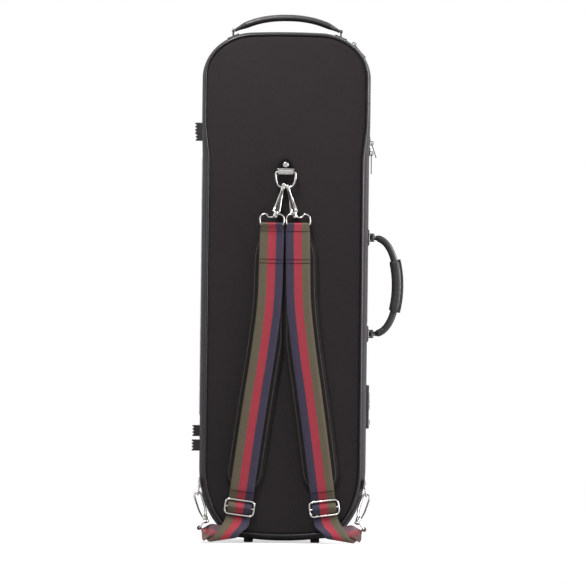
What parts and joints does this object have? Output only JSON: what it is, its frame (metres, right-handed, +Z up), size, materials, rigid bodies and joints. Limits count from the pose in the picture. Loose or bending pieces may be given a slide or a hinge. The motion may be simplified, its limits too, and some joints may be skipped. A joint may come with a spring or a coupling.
{
  "type": "oblong violin case",
  "caption": "Oblong padded violin case with a side-hinged zipped lid, carrying handles, combination lock and shoulder straps on its back.",
  "frame": {"origin": "on the floor under the middle of the whole object's box, case standing on its lower end", "axes": "+Z up along the case's length, +X towards the handle side, -X the hinged spine, -Y the back with the shoulder straps, +Y the lid"},
  "size_m": [0.3248, 0.1712, 0.8195],
  "materials": {
    "canvas": "woven black canvas over a rigid shell, glossy piping",
    "soft_black": "black padded fabric with bound edges",
    "leather": "black grained leather, stitched",
    "webbing": "woven webbing in three stripes: olive, crimson and navy",
    "plush": "wine-red plush",
    "chrome": "polished",
    "steel": "satin nickel",
    "black_metal": "dark textured coating",
    "plastic": "satin black",
    "rubber": "matt black"
  },
  "bodies": {
    "case": {"adjuster_left": "chrome", "adjuster_right": "chrome", "anchor_tab": "leather", "bottom_shell": "canvas", "corner_ring_left": "chrome", "corner_ring_right": "chrome", "end_foot_shell_left": "rubber", "end_foot_shell_right": "rubber", "handle_bracket_lower": "black_metal", "handle_bracket_upper": "black_metal", "hinge_leaf_shell": "steel", "hinge_pin": "steel", "lock_body": "black_metal", "lower_hook_left": "chrome", "lower_hook_right": "chrome", "neck_cradle": "plush", "shell_lining": "plush", "spine_foot_shell_lower": "rubber", "spine_foot_shell_upper": "rubber", "strap_left": "webbing", "strap_pad_left": "soft_black", "strap_pad_right": "soft_black", "strap_right": "webbing", "strap_tail_left": "webbing", "strap_tail_right": "webbing", "top_handle_plate_left": "black_metal", "top_handle_plate_right": "black_metal", "upper_hook_left": "chrome", "upper_hook_right": "chrome", "zipper_tape_shell": "plastic"},
    "lid": {"lid_shell": "canvas", "lid_lining": "plush", "zipper_tape_lid": "plastic", "hinge_leaf_lid": "steel", "end_foot_lid_left": "rubber", "end_foot_lid_right": "rubber", "spine_foot_lid_upper": "rubber", "spine_foot_lid_lower": "rubber", "lock_strike": "black_metal", "music_pocket": "canvas", "pocket_slider": "steel"},
    "anchor_ring": {"anchor_ring": "chrome"},
    "upper_gate_left": {"upper_gate_left": "chrome"},
    "upper_gate_right": {"upper_gate_right": "chrome"},
    "lower_gate_left": {"lower_gate_left": "chrome"},
    "lower_gate_right": {"lower_gate_right": "chrome"},
    "side_handle": {"side_handle": "leather"},
    "top_handle": {"top_handle": "leather"},
    "lock_wheel_1": {"lock_wheel_1": "steel"},
    "lock_wheel_2": {"lock_wheel_2": "steel"},
    "lock_wheel_3": {"lock_wheel_3": "steel"},
    "lock_button": {"lock_button": "steel"},
    "accessory_lid": {"accessory_lid": "plush"},
    "zipper_slider_upper": {"zipper_slider_upper": "steel"},
    "zipper_slider_lower": {"zipper_slider_lower": "steel"},
    "zipper_pull_upper": {"zipper_pull_upper": "steel"},
    "zipper_pull_lower": {"zipper_pull_lower": "steel"},
    "pocket_pull": {"pocket_pull": "steel"},
    "bow_toggle_left": {"bow_toggle_left": "plastic"},
    "bow_toggle_right": {"bow_toggle_right": "plastic"}
  },
  "joints": [
    {"name": "lid_hinge", "type": "hinge", "parent": "case", "child": "lid", "pos_m": [-0.15013, 0.01775, 0.19655], "axis": [0, 0, 1], "range_deg": [0, 100]},
    {"name": "side_handle_swing", "type": "hinge", "parent": "case", "child": "side_handle", "pos_m": [0.11517, -0.01585, 0.40116], "axis": [0, 0, 1], "range_deg": [-62, 62]},
    {"name": "top_handle_swing", "type": "hinge", "parent": "case", "child": "top_handle", "pos_m": [-0.02093, -0.01425, 0.79663], "axis": [1, 0, 0], "range_deg": [-50, 50]},
    {"name": "wheel_1_spin", "type": "hinge", "parent": "case", "child": "lock_wheel_1", "pos_m": [0.10937, -0.00425, 0.21245], "axis": [0, 0, 1], "continuous": true},
    {"name": "wheel_2_spin", "type": "hinge", "parent": "case", "child": "lock_wheel_2", "pos_m": [0.10937, -0.00425, 0.22025], "axis": [0, 0, 1], "continuous": true},
    {"name": "wheel_3_spin", "type": "hinge", "parent": "case", "child": "lock_wheel_3", "pos_m": [0.10937, -0.00425, 0.22805], "axis": [0, 0, 1], "continuous": true},
    {"name": "button_press", "type": "slide", "parent": "case", "child": "lock_button", "axis": [-1, 0, 0], "range_m": [0, 0.0015], "stiffness_N_per_m": 300},
    {"name": "accessory_lid_hinge", "type": "hinge", "parent": "case", "child": "accessory_lid", "pos_m": [-0.02093, 0.00555, 0.6942], "axis": [-1, 0, 0], "range_deg": [0, 95]},
    {"name": "slider_upper_travel", "type": "slide", "parent": "case", "child": "zipper_slider_upper", "axis": [0, 0, 1], "range_m": [0, 0.07]},
    {"name": "slider_lower_travel", "type": "slide", "parent": "case", "child": "zipper_slider_lower", "axis": [0, 0, 1], "range_m": [-0.32, 0]},
    {"name": "pull_upper_swing", "type": "hinge", "parent": "zipper_slider_upper", "child": "zipper_pull_upper", "pos_m": [0.11262, 0.01775, 0.62394], "axis": [0, -1, 0], "range_deg": [0, 132]},
    {"name": "pull_lower_swing", "type": "hinge", "parent": "zipper_slider_lower", "child": "zipper_pull_lower", "pos_m": [0.11262, 0.01775, 0.60794], "axis": [0, -1, 0], "range_deg": [0, 30]},
    {"name": "pocket_pull_swing", "type": "hinge", "parent": "lid", "child": "pocket_pull", "pos_m": [0.08385, 0.048, 0.77967], "axis": [0, -1, 0], "range_deg": [0, 140]},
    {"name": "anchor_ring_swing", "type": "hinge", "parent": "case", "child": "anchor_ring", "pos_m": [-0.02093, -0.07045, 0.576], "axis": [1, 0, 0], "range_deg": [-1.5, 1.5]},
    {"name": "upper_gate_left_spring", "type": "hinge", "parent": "case", "child": "upper_gate_left", "pos_m": [-0.03397, -0.07598, 0.51745], "axis": [-0.9659, 0, 0.2588], "range_deg": [0, 12], "stiffness_Nm_per_rad": 0.02},
    {"name": "lower_gate_left_spring", "type": "hinge", "parent": "case", "child": "lower_gate_left", "pos_m": [-0.14484, -0.05968, 0.04104], "axis": [0, 0.9512, -0.3086], "range_deg": [0, 12], "stiffness_Nm_per_rad": 0.02},
    {"name": "bow_toggle_left_turn", "type": "hinge", "parent": "lid", "child": "bow_toggle_left", "pos_m": [-0.06593, 0.06215, 0.1294], "axis": [0, 1, 0], "range_deg": [-90, 90]},
    {"name": "upper_gate_right_spring", "type": "hinge", "parent": "case", "child": "upper_gate_right", "pos_m": [-0.00779, -0.07284, 0.5171], "axis": [-0.9659, 0, -0.2588], "range_deg": [0, 12], "stiffness_Nm_per_rad": 0.02},
    {"name": "lower_gate_right_spring", "type": "hinge", "parent": "case", "child": "lower_gate_right", "pos_m": [0.10299, -0.05968, 0.04104], "axis": [0, -0.9512, 0.3086], "range_deg": [0, 12], "stiffness_Nm_per_rad": 0.02},
    {"name": "bow_toggle_right_turn", "type": "hinge", "parent": "lid", "child": "bow_toggle_right", "pos_m": [0.02407, 0.06215, 0.1294], "axis": [0, 1, 0], "range_deg": [-90, 90]}
  ]
}
